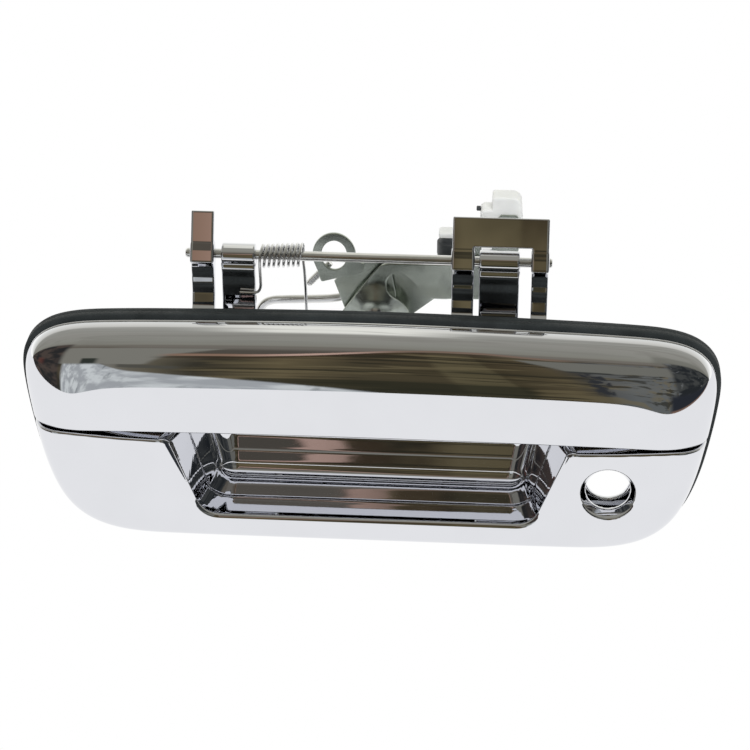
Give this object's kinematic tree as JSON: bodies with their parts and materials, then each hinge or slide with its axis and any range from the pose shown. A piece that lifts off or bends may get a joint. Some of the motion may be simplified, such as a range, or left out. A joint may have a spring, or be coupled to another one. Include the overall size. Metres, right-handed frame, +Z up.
{
  "type": "tailgate pull handle",
  "caption": "Pickup tailgate pull handle: chrome bezel with finger pocket and key hole, sprung chrome paddle on a hinge pin, and the release levers it works.",
  "frame": {"origin": "middle of the handle outline on the tailgate's outer skin, where the gasket seats", "axes": "+X to the right seen from outside the vehicle (the handle's long way), +Y into the tailgate, +Z up"},
  "size_m": [0.3196, 0.0949, 0.1528],
  "materials": {
    "chrome": "polished chrome plate",
    "rubber": "matte foam rubber",
    "zinc": "zinc-plated stamping, slightly yellow-grey",
    "steel": "bright zinc-plated steel",
    "spring_steel": "bright spring wire",
    "nylon": "natural white nylon",
    "black_plastic": "black moulded plastic"
  },
  "bodies": {
    "bezel": {"bezel_frame": "chrome", "panel_gasket": "rubber", "hinge_pin": "steel", "return_spring": "spring_steel", "mechanism_bracket": "zinc", "bracket_screw_1": "steel", "bracket_screw_2": "steel", "bracket_screw_3": "steel", "pivot_rivet": "steel", "pivot_spacer": "steel", "bump_stop_left": "rubber", "bump_stop_right": "rubber", "mount_stud_left": "steel", "mount_stud_right": "steel"},
    "paddle": {"paddle_handle": "chrome"},
    "right_lever": {"right_lever": "zinc", "rod_clip_upper": "nylon", "clip_pin_upper": "black_plastic", "clip_bush_lower": "black_plastic", "clip_cap_lower": "nylon"},
    "left_lever": {"left_lever": "zinc", "lever_stud": "steel"},
    "link_rod": {"link_rod": "steel"}
  },
  "joints": [
    {"name": "paddle_hinge", "type": "hinge", "parent": "bezel", "child": "paddle", "pos_m": [0, 0.015, 0.0783], "axis": [-1, 0, 0], "range_deg": [0, 20], "stiffness_Nm_per_rad": 0.6, "springref_deg": -40.11, "deforming": ["return_spring"]},
    {"name": "right_lever_pivot", "type": "hinge", "parent": "bezel", "child": "right_lever", "pos_m": [-0.0005, 0.0536, 0.0365], "axis": [0, 1, 0], "range_deg": [0, 17.5]},
    {"name": "left_lever_pivot", "type": "hinge", "parent": "bezel", "child": "left_lever", "pos_m": [-0.0005, 0.0502, 0.0365], "axis": [0, 1, 0], "range_deg": [0, 14.4]},
    {"name": "link_rod_pivot", "type": "hinge", "parent": "left_lever", "child": "link_rod", "pos_m": [-0.0134, 0.0502, 0.0436], "axis": [0, 1, 0], "range_deg": [-14.4, 0]}
  ],
  "couplings": [
    {"joint": "right_lever_pivot", "follows": "paddle_hinge", "ratio": 0.875},
    {"joint": "left_lever_pivot", "follows": "paddle_hinge", "ratio": 0.72},
    {"joint": "link_rod_pivot", "follows": "paddle_hinge", "ratio": -0.72}
  ]
}
